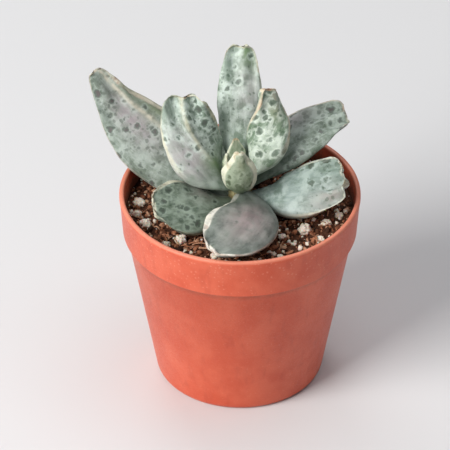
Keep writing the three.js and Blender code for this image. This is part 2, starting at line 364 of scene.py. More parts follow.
leafFinish = {
    "large": {"Spacing": 2.5, "Raggedness": 1.5}, "small": {"Spacing": 1.2, "Raggedness": 0.9},
    "smallSpots": 0.65, "spots": 0.78, "cores": 0.6, "grain": 0.5, "worn": 0.8, "fold": 0.6,
    "margin": (0.6, 0.15), "marginRise": 0.35, "foot": (0.5, 0.05),
    "roughness": 0.48, "waxRoughness": 0.14, "spotRoughness": 0.08,
    "spotRelief": 0.2, "edgeRelief": 0.4, "bump": 0.6, "bumpDepth": 0.35,
}


def makeLeafMaterial(name, look):
    material, tree, shader = newMaterial(
        name, Subsurface_Weight=0.15, Subsurface_Radius=(1.0, 1.1, 0.7), Subsurface_Scale=1.2 * mm,
        Coat_Weight=0.08, Coat_Roughness=0.4, IOR=1.42,
    )
    finish = leafFinish
    place = attribute(tree, "bladePlace", "Vector")
    along = attribute(tree, "bladeAlong")

    # the flesh under its wax, and the soft patches of other colours
    colour = mixed(tree, clouds(tree, place, 0.25, 0.36, 0.64), look["deep"], look["flesh"])
    wants = {"Patches": look["patches"], "Streaks": look["streaks"], "Grain": finish["grain"]}
    bloom = fromGroup(tree, waxBloom, Place=place, **wants)
    colour = mixed(tree, bloom["Mask"], colour, look["wax"])
    soft = clouds(tree, place, 0.5, 0.3, 0.6, 0.55)
    colour = mixed(tree, times(tree, attribute(tree, "bladeBlush"), soft), colour, look["blush"])
    colour = mixed(tree, times(tree, attribute(tree, "bladeGreen"), soft), colour, look["neck"])

    # painted shade towards the stem, where the leaves crowd: the blade darkens to its deep green there
    footShade = times(tree, ramp(tree, along, *finish["foot"]), look["base"])
    colour = mixed(tree, footShade, colour, look["deep"])

    # speckles: large ones with a pale ring, and small ones between them
    crowd = clouds(tree, place, 0.3, 0.3, 0.6, 0.7, 1.1, detail=2.0)
    amount = times(tree, attribute(tree, "bladeSpots"), crowd)
    large = fromGroup(tree, speckles, Place=place, Amount=amount, **finish["large"])
    small = fromGroup(tree, speckles, Place=place, Amount=amount, **finish["small"])
    colour = mixed(tree, times(tree, large["Halo"], look["halo"]), colour, look["wax"])
    spotted = larger(tree, large["Mask"], times(tree, small["Mask"], finish["smallSpots"]))
    colour = mixed(tree, times(tree, spotted, finish["spots"]), colour, look["spot"])
    colour = mixed(tree, times(tree, large["Core"], finish["cores"]), colour, look["core"])

    # the horny margin wanders in width, comes and goes, and is browner where it is worn
    wander = times(tree, minus(tree, noiseOf(tree, place, 1.2), 0.5), look["ragged"])
    near = ramp(tree, plus(tree, attribute(tree, "bladeMargin"), wander), *finish["margin"])
    patchy = clouds(tree, place, 0.35, 0.34, 0.55, 0.45, detail=2.0)
    full = look["edged"] + finish["marginRise"]
    strength = ramp(tree, along, look["edged"], full, 0.0, look["margin"])
    edge = times(tree, times(tree, near, patchy), strength)
    worn = times(tree, clouds(tree, place, 0.5, 0.5, 0.64, detail=2.0), ramp(tree, along, 0.6, 0.9))
    horny = mixed(tree, times(tree, worn, finish["worn"]), look["edge"], look["horn"])

    # the crest of a fold has the colour of the margin, and breaks off here and there
    broken = clouds(tree, place, 0.6, 0.35, 0.6, 0.35, detail=2.0)
    folded = times(tree, times(tree, attribute(tree, "bladeFold"), broken), finish["fold"])
    colour = mixed(tree, folded, colour, look["edge"])
    colour = mixed(tree, edge, colour, horny)
    tree.links.new(colour, shader["Base Color"])

    waxy = plus(tree, times(tree, bloom["Mask"], finish["waxRoughness"]), finish["roughness"])
    roughness = minus(tree, waxy, times(tree, spotted, finish["spotRoughness"]))
    tree.links.new(roughness, shader["Roughness"])
    height = plus(tree, bloom["Relief"], times(tree, spotted, finish["spotRelief"]))
    height = plus(tree, height, times(tree, edge, finish["edgeRelief"]))
    addBump(tree, shader, height, finish["bump"], finish["bumpDepth"])
    return material


leafMaterials = {name: makeLeafMaterial(name, look) for name, look in leafLooks.items()}
print("leaf materials made")

# Meshes and pieces


def smooth(low, high, value):
    t = min(max((value - low) / (high - low), 0.0), 1.0)
    return t * t * (3 - 2 * t)


def ripple(x, y, z, seed):
    # repeatable noise about 0; each seed gives another pattern
    return noise.noise(Vector((x, y, z + 7.3 * seed)))


def toPiece(bm, name, material, slot, *nodes):
    for face in bm.faces:
        face.smooth = True
    mesh = toMesh(bm, name)
    mesh.materials.append(material)
    piece = newObject(name, mesh)
    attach(piece, "root")
    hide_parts(*nodes)
    return piece


# What all leaves share. neck: the neck's width as a share of the blade's. heel: how fast the blade
# closes at the stem. gap: how far its foot lies from the stem, before rooting draws it back in.
# grownWidth: the width from which a leaf has its full relief. dents to notch: the relief itself.

leafShape = {
    "neck": 0.34, "heel": 0.27, "swell": 2.1, "closing": 0.62, "tipThinning": 0.5, "waveLength": 4.4,
    "foldWidth": 0.25, "foldLine": 0.5, "gap": 0.3, "rooting": 1.0, "grownWidth": 12,
    "spineSteps": 48, "around": 112, "rings": 90,
    "dents": 0.3, "wrinkles": 0.2, "bead": 0.14, "beadWidth": 0.4, "crinkle": 0.16, "notch": 0.5,
}
stemShape = {
    "radius": 3.4, "topRadius": 1.6, "top": 6.5, "foot": -20.2, "rim": 48, "soilBelowRim": 5.2,
    "rings": 26, "sides": 56, "scars": 0.16, "scarTurns": 2.4, "knobs": 0.14,
}

# Each leaf is posed by its heading (azimuth from +X towards +Y) and its rise in degrees, at the
# stem and at the tip, the height over the rim where it leaves the stem, and the roll of its blade.
# widest: where along the blade its width lies. tip: how wide the tip is for it. round: how round
# the tip is. wave and phase: the waves of the tip. Left and right are as seen from the stem.
# fold: height of a lengthwise ridge, and its place across from -1 to 1. bare: how much narrower
# the horny margin is on the left and right; below 0 it is wider. spots: where along the blade
# they begin, and how strong they are on the left and right.
# blush and green: patches as (along, across, reach, strength).
# A leaf is as plainLeaf says where its own line says nothing else.

plainLeaf = {
    "roll": 0, "fold": (0, 0), "bare": (0, 0), "wave": 0.2,
    "blush": (0.9, 0, 0.2, 0.3), "green": (0.1, 0, 0.15, 0.3),
}
leaves = [
    {"name": "leaf_back_tall", "look": "leafMint",
     "heading": (90, 90), "rise": (40, 60), "height": 2.6,
     "length": 30, "width": 10.5, "thick": 6, "widest": 0.62, "tip": 0.84, "round": 0.32,
     "wave": 0.6, "phase": 0.4, "bare": (0.4, 0), "spots": (0.3, 0.75, 0.6),
     "blush": (0.65, 0.4, 0.3, 0.5), "green": (0.97, 0.5, 0.16, 0.8)},
    {"name": "leaf_back_left", "look": "leafMint",
     "heading": (178, 101), "rise": (32, 79), "height": 2.2, "roll": 10,
     "length": 24.4, "width": 15, "thick": 7.4, "widest": 0.4, "tip": 0.84, "round": 0.28,
     "wave": 0.9, "phase": 1.7, "fold": (0.8, -0.1), "bare": (0.1, -0.5), "spots": (0.3, 0.6, 1.25),
     "blush": (0.42, -0.6, 0.3, 0.8), "green": (0.24, 0, 0.16, 0.9)},
    {"name": "leaf_left_long", "look": "leafLilac",
     "heading": (150, 147), "rise": (5, 55), "height": -1.6, "roll": 40,
     "length": 43, "width": 15.8, "thick": 8, "widest": 0.52, "tip": 0.46, "round": 0.4,
     "wave": 0.5, "phase": 2.6, "fold": (0.6, 0.5), "bare": (0.2, -0.6), "spots": (0.3, 1.0, 0.8),
     "blush": (0.66, 0.05, 0.22, 0.8), "green": (0.62, 1.0, 0.24, 0.75)},
    {"name": "leaf_front_left", "look": "leafDark",
     "heading": (215, 199), "rise": (5, 18), "height": -1.3, "roll": 22,
     "length": 19.8, "width": 15.4, "thick": 6.8, "widest": 0.68, "tip": 0.78, "round": 0.38,
     "wave": 0.5, "phase": 0.9, "bare": (0.4, -0.8), "spots": (0.2, 0.9, 1.0),
     "blush": (0.25, 0.5, 0.25, 0.8)},
    {"name": "leaf_front", "look": "leafSmooth",
     "heading": (289, 212), "rise": (-3, 3), "height": 0.8, "roll": 8,
     "length": 24.2, "width": 16.6, "thick": 7.2, "widest": 0.62, "tip": 0.84, "round": 0.46,
     "wave": 0.3, "phase": 2.1, "fold": (0.3, 0.85), "bare": (0.2, -1.2), "spots": (0.4, 0.3, 0.35),
     "blush": (0.5, -0.15, 0.3, 0.7)},
    {"name": "leaf_right", "look": "leafBlue",
     "heading": (350, 356), "rise": (1, 35), "height": -0.9, "roll": -25,
     "length": 22.5, "width": 14.4, "thick": 6.8, "widest": 0.8, "tip": 0.94, "round": 0.3,
     "wave": 0.9, "phase": 3, "bare": (-0.6, 0), "spots": (0.5, 1.3, 0.9),
     "blush": (0.85, 0.7, 0.25, 0.8), "green": (0.85, -0.5, 0.3, 0.4)},
    {"name": "leaf_right_tall", "look": "leafPale",
     "heading": (14, 140), "rise": (40, 84), "height": 5,
     "length": 21, "width": 10.5, "thick": 6.8, "widest": 0.45, "tip": 0.54, "round": 0.32,
     "wave": 0.5, "phase": 0.2, "spots": (0.1, 1.15, 1.15),
     "blush": (0.9, 0.3, 0.2, 0.7), "green": (0.8, 0.2, 0.14, 0.4)},
    {"name": "leaf_right_back", "look": "leafLilac",
     "heading": (42, 11), "rise": (30, 17), "height": 1.5, "roll": -11,
     "length": 27.4, "width": 13.2, "thick": 6, "widest": 0.68, "tip": 0.82, "round": 0.3,
     "wave": 0.7, "phase": 1.2, "bare": (-0.5, 0.4), "spots": (0.3, 1.2, 1.0),
     "blush": (0.5, -0.8, 0.25, 0.8)},
    {"name": "leaf_back_low", "look": "leafDark",
     "heading": (86, 96), "rise": (4, 16), "height": -1.6,
     "length": 23, "width": 12.5, "thick": 6.8, "widest": 0.6, "tip": 0.82, "round": 0.32,
     "wave": 0.7, "phase": 2.4, "spots": (0.25, 0.9, 0.9),
     "blush": (0.6, 0, 0.2, 0.5)},
    {"name": "young_leaf_front", "look": "leafYoung",
     "heading": (265, 292), "rise": (50, 96), "height": 2, "roll": 12,
     "length": 14.2, "width": 8.2, "thick": 3.6, "widest": 0.62, "tip": 0.48, "round": 0.46,
     "phase": 0.5, "bare": (-0.6, -0.6), "spots": (0.1, 1.2, 1.2), "green": (0.2, 0, 0.2, 0.6)},
    {"name": "young_leaf_back", "look": "leafYoung",
     "heading": (106, 100), "rise": (66, 82), "height": 4.9,
     "length": 7.6, "width": 4.4, "thick": 2.6, "widest": 0.5, "tip": 0.5, "round": 0.45,
     "phase": 1.5, "spots": (0.2, 0.6, 0.6), "green": (0.2, 0, 0.3, 0.8)},
    {"name": "young_leaf_left", "look": "leafYoung",
     "heading": (186, 150), "rise": (70, 88), "height": 5.2,
     "length": 5.6, "width": 3.4, "thick": 2.2, "widest": 0.5, "tip": 0.5, "round": 0.45,
     "phase": 2.5, "spots": (0.2, 0.6, 0.6), "green": (0.2, 0, 0.3, 0.8)},
]


def stemRadiusAt(height):
    share = (height + stemShape["soilBelowRim"]) / (stemShape["top"] + stemShape["soilBelowRim"])
    return stemShape["radius"] + share * (stemShape["topRadius"] - stemShape["radius"])


def bladePoint(leaf, along, closing, side, isUpper):
    # along from 0 at the stem to 1 at the tip, closing from 0 to 1 and back, side from -1 to 1
    swell = 1 - (1 - leafShape["neck"]) * max(0.0, 1 - along / leaf["widest"]) ** leafShape["swell"]
    taper = 1 - (1 - leaf["tip"]) * smooth(leaf["widest"], 1, along)
    closes = leafShape["heel"] + (leaf["round"] - leafShape["heel"]) * smooth(0.3, 0.7, along)
    halfWidth = 0.5 * leaf["width"] * swell * taper * closing**closes
    thinned = 1 - leafShape["tipThinning"] * smooth(0.5, 1, along)
    flesh = (0.5 + 0.5 * smooth(0, 0.4, along)) * thinned
    lens = (1 - side * side) ** (0.5 + 0.22 * smooth(0.3, 0.9, along))
    halfThick = 0.5 * leaf["thick"] * flesh * closing ** leafShape["closing"] * lens
    across = side * halfWidth
    waving = math.sin(2 * math.pi * across / leafShape["waveLength"] + leaf["phase"])
    dish = 0.1 * leaf["width"] * smooth(0.2, 0.9, along) * side * side
    foldHeight, foldPlace = leaf["fold"]
    ridge = math.exp(-(((side - foldPlace) / leafShape["foldWidth"]) ** 2)) * math.sin(math.pi * along)
    face = 0.85 * halfThick + foldHeight * ridge if isUpper else -1.15 * halfThick
    return across, face + dish + leaf["wave"] * smooth(0.55, 1, along) * waving, halfWidth


def leafSpine(leaf):
    # the bent middle line of the blade, as points with the ways right, up and onward
    spine = []
    place = Vector((0, 0, stemShape["rim"] + leaf["height"]))
    steps = leafShape["spineSteps"]
    for k in range(steps + 1):
        share = k / steps
        heading = math.radians(leaf["heading"][0] + share * (leaf["heading"][1] - leaf["heading"][0]))
        rise = math.radians(leaf["rise"][0] + share * (leaf["rise"][1] - leaf["rise"][0]))
        outward = Vector((math.cos(heading), math.sin(heading), 0))
        onward = outward * math.cos(rise) + Vector((0, 0, math.sin(rise)))
        if k == 0:
            place = place + outward * (stemRadiusAt(leaf["height"]) + leafShape["gap"])
        else:
            place = place + onward * (leaf["length"] / steps)
        roll = -math.radians(leaf["roll"]) * smooth(0, 0.4, share)
        rightward = Matrix.Rotation(roll, 3, onward) @ Vector((outward.y, -outward.x, 0))
        rooted = place - onward * leafShape["rooting"] * (1 - smooth(0, 0.12, share))
        spine.append((rooted, rightward, rightward.cross(onward), onward))
    return spine


def spineAt(spine, along):
    steps = len(spine) - 1
    before = min(int(along * steps), steps - 1)
    share = along * steps - before
    return [a.lerp(b, share) for a, b in zip(spine[before], spine[before + 1])]


def patchAt(patch, along, side):
    # how strong a soft round patch of colour is here
    middle, across, reach, strength = patch
    return strength * math.exp(-(((along - middle) / reach) ** 2) - ((side - across) / (2.2 * reach)) ** 2)


def bladeMarks(leaf, along, side, halfWidth, isUpper):
    # what the leaf materials read at a point of the blade
    toRight = 0.5 + 0.5 * smooth(0, 0.35, abs(side)) * (1 if side > 0 else -1)

    def between(onLeft, onRight):
        return onLeft * (1 - toRight) + onRight * toRight

    fromEdge = min((1 - abs(side)) * halfWidth, (1 - along) * leaf["length"])
    bareShare = smooth(0.1, 0.5, abs(side)) * (1 - smooth(0.85, 1, along))
    foldHeight, foldPlace = leaf["fold"]
    offFold = (side - foldPlace) * halfWidth / leafShape["foldLine"]
    crest = math.exp(-(offFold**2)) if foldHeight > 0 and isUpper else 0.0
    spotsFrom, *spotStrengths = leaf["spots"]
    return {
        "Along": along,
        "Margin": fromEdge + between(*leaf["bare"]) * bareShare,
        "Fold": crest * smooth(0.2, 0.45, along),
        "Spots": between(*spotStrengths) * smooth(spotsFrom - 0.15, spotsFrom + 0.15, along),
        "Blush": patchAt(leaf["blush"], along, side),
        "Green": patchAt(leaf["green"], along, side),
    }


def makeLeaf(number, leaf):
    bm = bmesh.new()
    bmesh.ops.create_uvsphere(bm, u_segments=leafShape["around"], v_segments=leafShape["rings"], radius=1)
    layers = {"Place": bm.verts.layers.float_vector.new("bladePlace")}
    for label in ("Along", "Margin", "Fold", "Spots", "Blush", "Green"):
        layers[label] = bm.verts.layers.float.new("blade" + label)
    spine = leafSpine(leaf)
    grown = min(1.0, leaf["width"] / leafShape["grownWidth"])
    ruggedness = smooth(0.5, 0.3, leaf["round"])
    for v in bm.verts:
        along = min(max((1 + v.co.z) / 2, 0.0), 1.0)
        closing = math.hypot(v.co.x, v.co.y)
        turn = math.atan2(v.co.y, v.co.x) if closing > 1e-6 else math.pi / 2
        side = 0.6 * (1 - 2 * abs(turn) / math.pi) + 0.4 * math.cos(turn)
        across, over, halfWidth = bladePoint(leaf, along, closing, side, turn > 0)
        place, rightward, upward, onward = spineAt(spine, along)
        # the tip's outline is notched here and there, less so where it is an oval
        notch = ripple(0.55 * across, 0, 0, number + 3) + 0.5 * ripple(1.6 * across, 0, 0, number + 5)
        notched = leafShape["notch"] * ruggedness * grown * notch * smooth(0.72, 1, along)
        v.co = (place + rightward * across + upward * over + onward * notched) * mm
        # the pattern's place is shifted along X, so that no two leaves have the same
        v[layers["Place"]] = (across + 41 * number, along * leaf["length"], over)
        for label, mark in bladeMarks(leaf, along, side, halfWidth, turn > 0).items():
            v[layers[label]] = mark
    bmesh.ops.recalc_face_normals(bm, faces=bm.faces)
    roughenLeaf(bm, number, grown, ruggedness, layers)
    slot = "young_leaf_flesh" if leaf["look"] == "leafYoung" else "leaf_flesh"
    toPiece(bm, leaf["name"] + "_blade", leafMaterials[leaf["look"]], slot, leaf["name"])


def roughenLeaf(bm, number, grown, ruggedness, layers):
    # shallow dents and lengthwise wrinkles, and the raised crinkled bead of the horny margin
    bm.normal_update()
    crinkled = leafShape["crinkle"] * ruggedness
    moves = []
    for v in bm.verts:
        x, y, z = v[layers["Place"]]
        along = v[layers["Along"]]
        dents = leafShape["dents"] * ripple(0.24 * x, 0.24 * y, 0.3 * z, number)
        wrinkles = leafShape["wrinkles"] * ripple(0.75 * x, 0.13 * y, 0.4 * z, number + 20)
        nearEdge = math.exp(-((v[layers["Margin"]] / leafShape["beadWidth"]) ** 2)) * smooth(0.3, 0.6, along)
        bead = leafShape["bead"] + crinkled * ripple(1.1 * x, 1.1 * y, 0, number + 40)
        moves.append(grown * (smooth(0, 0.2, along) * (dents + wrinkles) + nearEdge * bead) * mm)
    for v, move in zip(bm.verts, moves):
        v.co += v.normal * move


makeCamera()
makeStudio()
for number, leaf in enumerate(leaves):
    makeLeaf(number, {**plainLeaf, **leaf})
print("leaves made")

# Pot: a thin moulded pot with a rim band, a rolled lip and drain holes

potShape = {
    "height": 48, "topRadius": 27.5, "baseRadius": 19, "wall": 1, "bandHeight": 10, "bandStep": 0.9,
    "sides": 180, "lipRound": 0.42, "bandRound": 0.3, "baseRound": 0.5,
    "drains": 6, "drainRadius": 2.6, "drainCircle": 11.5,
}
bandFoot = potShape["height"] - potShape["bandHeight"]


def bodyRadiusAt(z):
    base = potShape["baseRadius"]
    underBand = potShape["topRadius"] - potShape["bandStep"] - 0.6
    return base + (underBand - base) * z / bandFoot


def innerRadiusAt(z):
    if z < bandFoot:
        return bodyRadiusAt(z) - potShape["wall"]
    foot = bodyRadiusAt(bandFoot - 1) + potShape["bandStep"] - potShape["wall"]
    return foot + (potShape["topRadius"] - potShape["wall"] - foot) * (z - bandFoot) / potShape["bandHeight"]


def spinProfile(bm, profile, sides):
    # turns [radius, height] points, all in millimetres, about +Z into a closed skin
    verts = [bm.verts.new(Vector((radius, 0, height)) * mm) for radius, height in profile]
    edges = [bm.edges.new(pair) for pair in zip(verts, verts[1:])]
    fullTurn = {"cent": (0, 0, 0), "axis": (0, 0, 1), "angle": 2 * math.pi, "use_merge": True}
    bmesh.ops.spin(bm, geom=verts + edges, steps=sides, **fullTurn)
    bmesh.ops.remove_doubles(bm, verts=bm.verts, dist=0.002 * mm)
    bmesh.ops.recalc_face_normals(bm, faces=bm.faces)


def roundRings(bm, corners, width, segments):
    # bevels the rings that run through these [radius, height] corners
    near = 0.02

    def isOn(v):
        radius = math.hypot(v.co.x, v.co.y) / mm
        return any(abs(radius - r) < near and abs(v.co.z / mm - z) < near for r, z in corners)

    def isRing(edge):
        first, second = edge.verts
        return isOn(first) and isOn(second) and abs(first.co.z - second.co.z) < 1e-7

    rings = [edge for edge in bm.edges if isRing(edge)]
    wants = {"segments": segments, "profile": 0.5, "affect": "EDGES", "material": -1}
    bmesh.ops.bevel(bm, geom=rings, offset=width * mm, **wants)


def makePot():
    height, top, wall = potShape["height"], potShape["topRadius"], potShape["wall"]
    base = potShape["baseRadius"]
    underBand = bodyRadiusAt(bandFoot - 1)
    bandRadius = underBand + potShape["bandStep"]
    profile = [
        (0, 0), (base - 0.5, 0), (bodyRadiusAt(1), 1), (underBand, bandFoot - 0.6), (bandRadius, bandFoot),
        (top - 0.12, height - 1.3), (top, height - 1), (top, height), (top - wall - 0.1, height),
        (innerRadiusAt(bandFoot + 1), bandFoot + 1), (innerRadiusAt(bandFoot - 1), bandFoot - 0.5),
        (innerRadiusAt(wall + 1), wall + 1), (innerRadiusAt(wall) - 1, wall), (0, wall),
    ]
    bm = bmesh.new()
    spinProfile(bm, profile, potShape["sides"])
    roundRings(bm, [(top, height), (top - wall - 0.1, height)], potShape["lipRound"], 4)
    roundRings(bm, [(bandRadius, bandFoot)], potShape["bandRound"], 3)
    roundRings(bm, [(base - 0.5, 0), (bodyRadiusAt(1), 1)], potShape["baseRound"], 3)
    drillDrains(bm)
    pot = toPiece(bm, "pot_shell", makePotMaterial(), "pot_plastic", "pot")
    pot.data.set_sharp_from_angle(angle=math.radians(50))


def drillDrains(bm):
    # each drain is a round hole through the base, cut with a boolean and then taken back into bm
    radius = potShape["drainRadius"] * mm
    drill = {"segments": 40, "radius1": radius, "radius2": radius, "depth": 4 * potShape["wall"] * mm}
    cutter = bmesh.new()
    for k in range(potShape["drains"]):
        turn = 2 * math.pi * (k + 0.5) / potShape["drains"]
        spot = Vector((math.cos(turn), math.sin(turn), 0)) * potShape["drainCircle"] * mm
        bmesh.ops.create_cone(cutter, cap_ends=True, matrix=Matrix.Translation(spot), **drill)
    drills = newObject("drills", toMesh(cutter, "drills"))
    shell = newObject("shell", bpy.data.meshes.new("shell"))
    bm.to_mesh(shell.data)
    cut = shell.modifiers.new("drains", "BOOLEAN")
    cut.object = drills
    cut.operation = "DIFFERENCE"
    cut.solver = "EXACT"
    drilled = bpy.data.meshes.new_from_object(shell.evaluated_get(bpy.context.evaluated_depsgraph_get()))
    bm.clear()
    bm.from_mesh(drilled)
    for item in (shell, drills):
        bpy.data.objects.remove(item)
    bpy.data.meshes.remove(drilled)


# Colours, the strength of each kind of wear, of the painted lip highlight, of the painted shade under the
# band and of the darkening inside the wall, and the heights between which each grows

potLook = {
    "plastic": rgb(205, 86, 57), "warm": rgb(215, 101, 72), "shade": rgb(176, 66, 44),
    "pale": rgb(226, 148, 122), "darkTone": rgb(96, 66, 50),
    "shadeStrength": 0.3, "specks": 0.35, "scuffs": 0.4, "lipHighlight": 0.65, "innerDarkness": 0.8, "stepShade": 0.5,
    "speckHeights": (36.0, 44.0), "lipHeights": (47.2, 47.9), "innerHeights": (39.0, 41.0),
    "bump": 0.3, "bumpDepth": 0.18,
}


def makePotMaterial():
    material, tree, shader = newMaterial(
        "potPlastic", Subsurface_Weight=0.06, Subsurface_Radius=(1.0, 0.45, 0.25),
        Subsurface_Scale=1.2 * mm, IOR=1.45, Specular_IOR_Level=0.35, Coat_Weight=0.08, Coat_Roughness=0.3,
    )
    look = potLook
    place = objectPlace(tree)
    height = heightOf(tree, place)
    cloudy = clouds(tree, place, 0.13, 0.35, 0.65, detail=4.0)
    colour = mixed(tree, cloudy, look["plastic"], look["warm"])
    flow = clouds(tree, scaled(tree, place, (1, 1, 0.35)), 0.45, 0.5, 0.75, 0.0, look["shadeStrength"])
    colour = mixed(tree, flow, colour, look["shade"])

    # rubbed pale specks, denser on the rim band, scuffs, and a painted highlight along the top of the lip
    band = ramp(tree, height, *look["speckHeights"], 0.35, 0.75)
    specks = fromGroup(tree, speckles, Place=place, Spacing=0.9, Amount=band, Raggedness=0.5)
    colour = mixed(tree, times(tree, specks["Mask"], look["specks"]), colour, look["pale"])
    scuffs = clouds(tree, scaled(tree, place, (1, 1, 2.5)), 0.8, 0.6, 0.74, detail=6.0, rough=0.7)
    # painted highlight: the top of the lip turns pale as if it caught the light
    lipHighlight = times(tree, ramp(tree, height, *look["lipHeights"]), look["lipHighlight"])
    colour = mixed(tree, larger(tree, times(tree, scuffs, look["scuffs"]), lipHighlight), colour, look["pale"])

    # darker inside the wall above the bed, more so lower down, with an uneven edge
    flat = vectors(tree, "LENGTH", {0: scaled(tree, place, (1, 1, 0))})["Value"]
    inside = ramp(tree, minus(tree, flat, times(tree, height, 0.08)), 22.9, 22.6)
    inside = times(tree, inside, ramp(tree, height, *look["innerHeights"]))
    unevenEdge = times(tree, noiseOf(tree, place, 0.6, 5.0, 0.65), 6.0)
    darkerLower = ramp(tree, plus(tree, height, unevenEdge), 50.0, 46.5)
    innerDarkened = times(tree, times(tree, inside, darkerLower), look["innerDarkness"])

    # painted shade in the step under the band, in patches
    step = times(tree, ramp(tree, height, 35.6, 37.4), ramp(tree, height, 38.0, 37.6))
    stepShaded = times(tree, times(tree, step, noiseOf(tree, place, 0.7)), look["stepShade"])
    # both darken towards the same dark tone: the darkening inside the wall and the painted shade under the
    # band
    colour = mixed(tree, larger(tree, innerDarkened, stepShaded), colour, look["darkTone"])
    tree.links.new(colour, shader["Base Color"])

    fine = noiseOf(tree, place, 2.2, 4.0, 0.65)
    gloss = ramp(tree, fine, 0.3, 0.7, 0.34, 0.5)
    tree.links.new(plus(tree, gloss, times(tree, innerDarkened, 0.4)), shader["Roughness"])
    addBump(tree, shader, fine, look["bump"], look["bumpDepth"])
    return material


makePot()
print("pot made")

# Soil: a bed that fills the pot round the stem, with crumbs, chips, fibres and perlite on it. A
# radius is its least and how much more it may be, and other pairs are the least and the most.
# jolts: how far the corners of each small shape are moved, as a share of its radius, or in
# millimetres for the chips.
# standing: the lumps of perlite that stand out at the front, as (x, y, radius). scattered: how
# many more are tried round them.

soilShape = {
    "rings": 44, "sides": 150, "wallGap": 0.12, "stemGap": 0.1, "clearOfStem": 4.2,
    "crumbs": 3000, "crumbRadius": (0.2, 0.62), "crumbSquash": ((0.8, 1.5), (0.7, 1.1), (0.5, 0.9)),
    "chips": 80, "chipSize": ((0.9, 2.2), (0.5, 1.0), (0.25, 0.45)), "chipTilt": 0.5,
    "fibres": 150, "fibreLength": (1.6, 4.2), "fibreHalfWidth": (0.06, 0.14), "fibreThickness": 0.14,
    "grit": 480, "gritRadius": (0.16, 0.5),
    "jolts": {"crumbs": 0.22, "chips": 0.13, "grit": 0.3},
    "seeds": {"crumbs": 11, "fibres": 12, "perlite": 13},
    "standing": [
        (-23.1, 2.2, 1.5), (-21.4, -6, 1.6), (-13.4, -12.2, 1.5), (-16.7, -14, 1.2), (-23.4, -2, 1.1),
        (14.6, -8.4, 1.8), (9.7, -11, 1.1), (19.6, -5.5, 1.2), (22.6, -2.6, 1.1), (18.2, -12, 1.2),
    ],
    "scattered": 34, "scatteredReach": (12.5, 23.6),
}
soilLevel = stemShape["rim"] - stemShape["soilBelowRim"]
bedRadius = innerRadiusAt(soilLevel) - soilShape["wallGap"]


def bedHeightAt(x, y):
    swells = 0.32 * ripple(0.28 * x, 0.28 * y, 0, 60) + 0.2 * ripple(0.9 * x, 0.9 * y, 0, 61)
    heaped = 0.7 * smooth(19, 25, math.hypot(x, y)) * max(0.0, ripple(0.12 * x, 0.12 * y, 0, 62) + 0.25)
    return soilLevel + swells + heaped


def makeBed():
    hole = stemShape["radius"] + soilShape["stemGap"]
    holeFoot = stemShape["rim"] + stemShape["foot"] - 0.3
    rings = soilShape["rings"]
    profile = [(0, 1.1), (innerRadiusAt(2) - 0.6, 1.1)]
    profile += [(innerRadiusAt(z) - 0.3, z) for z in (3, 36)]
    profile += [(bedRadius + (hole - bedRadius) * k / rings, soilLevel) for k in range(rings + 1)]
    profile += [(hole, holeFoot), (0, holeFoot)]
    bm = bmesh.new()
    spinProfile(bm, profile, soilShape["sides"])
    tints = bm.verts.layers.float.new("grainTint")
    for v in bm.verts:
        v[tints] = 0.25
        if abs(v.co.z / mm - soilLevel) > 0.01:
            continue
        x, y = v.co.x / mm, v.co.y / mm
        v.co.z = (bedHeightAt(x, y) + 0.25 * ripple(1.9 * x, 1.9 * y, 0, 63)) * mm
    toPiece(bm, "soil_bed", soilMaterial, "potting_soil", "soil")


class Batches:
    # many small shapes for one piece: they are made a few at a time, because one large bmesh is slow
    fullBatch = 1500

    def __init__(self):
        self.whole = bmesh.new()
        self.whole.verts.layers.float.new("grainTint")
        self.begin()

    def begin(self):
        self.batch = bmesh.new()
        self.tint = self.batch.verts.layers.float.new("grainTint")

    def flush(self, limit=0):
        if len(self.batch.verts) <= limit:
            return
        mesh = toMesh(self.batch, "batch")
        self.whole.from_mesh(mesh)
        bpy.data.meshes.remove(mesh)
        self.begin()

    def add(self, verts, tint):
        for v in verts:
            v[self.tint] = tint
        self.flush(self.fullBatch)


def randomTurn(rng):
    axis = Vector((rng.uniform(-1, 1), rng.uniform(-1, 1), rng.uniform(-1, 1)))
    return Matrix.Rotation(rng.uniform(0, 2 * math.pi), 4, axis.normalized())


def freeSpot(rng, margin):
    # an even spread over the bed, clear of the stem and of the wall
    reach = math.sqrt(rng.uniform(soilShape["clearOfStem"] ** 2, (bedRadius - margin) ** 2))
    turn = rng.uniform(0, 2 * math.pi)
    return reach * math.cos(turn), reach * math.sin(turn)


def onBed(x, y, rise):
    return Matrix.Translation(Vector((x, y, bedHeightAt(x, y) + rise)) * mm)


def jolt(verts, rng, share, radius=1.0):
    # moves each corner at random, so that no two shapes are alike
    for v in verts:
        v.co += Vector([rng.uniform(-share, share) * radius * mm for axis in range(3)])


